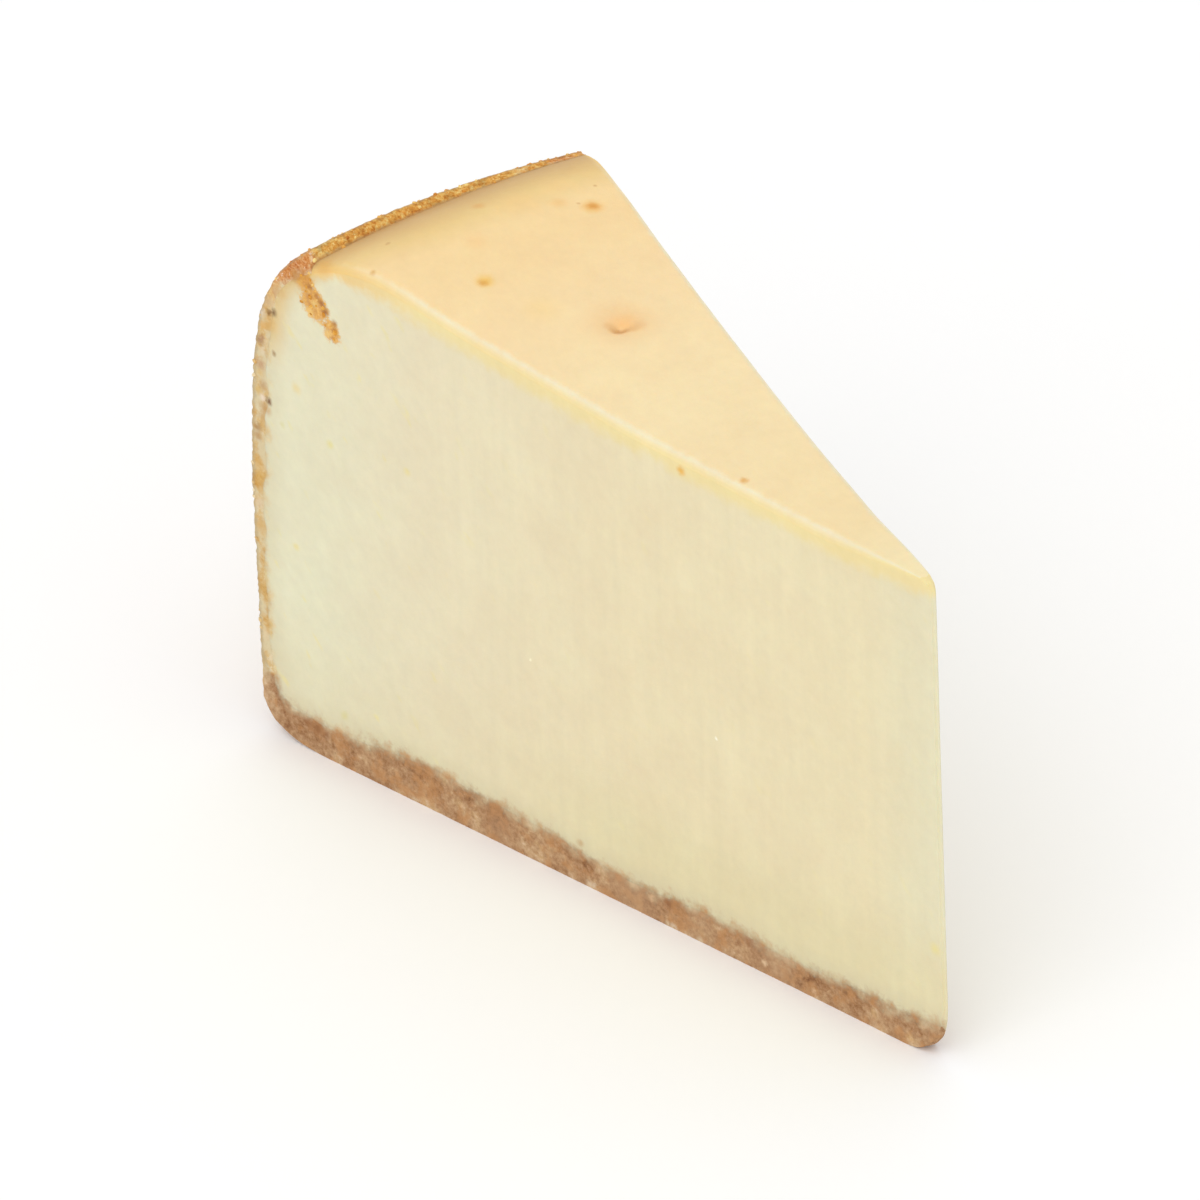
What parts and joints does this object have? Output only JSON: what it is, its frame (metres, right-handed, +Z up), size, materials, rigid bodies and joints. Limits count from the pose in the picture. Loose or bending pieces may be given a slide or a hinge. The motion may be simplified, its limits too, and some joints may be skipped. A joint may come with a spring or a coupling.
{
  "type": "cheesecake slice",
  "caption": "Tall narrow wedge of plain baked cheesecake with a golden top, on a pressed crumb crust that also runs thinly up its outer side.",
  "frame": {"origin": "under the middle of the slice's box, on the surface it stands on", "axes": "+Z up, +X from the crusted outer side towards the tip, -Y the cut face that the picture shows"},
  "size_m": [0.1148, 0.0448, 0.0747],
  "materials": {
    "baked_cheese": "moist pale cream cut, with a thin golden baked skin on top",
    "biscuit_crumb": "dry pressed biscuit crumb, grainy, brown under the slice and golden on its outer side"
  },
  "bodies": {
    "root": {"cheese_filling": "baked_cheese", "crumb_crust": "biscuit_crumb"}
  },
  "joints": []
}
